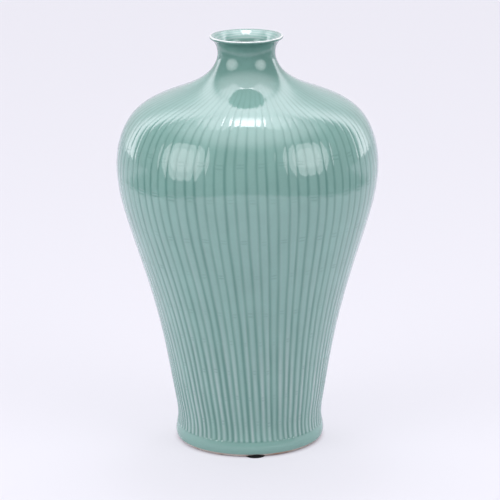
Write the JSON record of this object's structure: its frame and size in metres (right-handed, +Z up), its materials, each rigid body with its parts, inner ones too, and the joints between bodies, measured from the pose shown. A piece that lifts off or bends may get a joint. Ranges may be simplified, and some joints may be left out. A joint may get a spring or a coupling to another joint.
{
  "type": "vase",
  "caption": "Tall celadon plum vase with high round shoulders, a short waisted neck, a flared mouth and a carved vertical slat pattern under its glaze.",
  "frame": {"origin": "centre of the surface the vase stands on, on its axis, at the underside of the rubber bumpers", "axes": "+Z up along the axis of revolution; -Y is the side with the front bumper, and +X is to the right when the front is faced"},
  "size_m": [0.2272, 0.2272, 0.36],
  "materials": {
    "biscuit": "matte",
    "slip": "matte",
    "celadon_glaze": "gloss",
    "bumper_rubber": "matte"
  },
  "bodies": {
    "root": {"foot_ring": "biscuit", "base_disc": "biscuit", "lower_wall": "biscuit", "upper_wall": "biscuit", "neck": "biscuit", "belly_slip": "slip", "neck_slip": "slip", "outer_glaze": "celadon_glaze", "inner_glaze": "celadon_glaze", "base_glaze": "celadon_glaze", "foot_bumper_front": "bumper_rubber", "foot_bumper_rear_left": "bumper_rubber", "foot_bumper_rear_right": "bumper_rubber"}
  },
  "joints": []
}
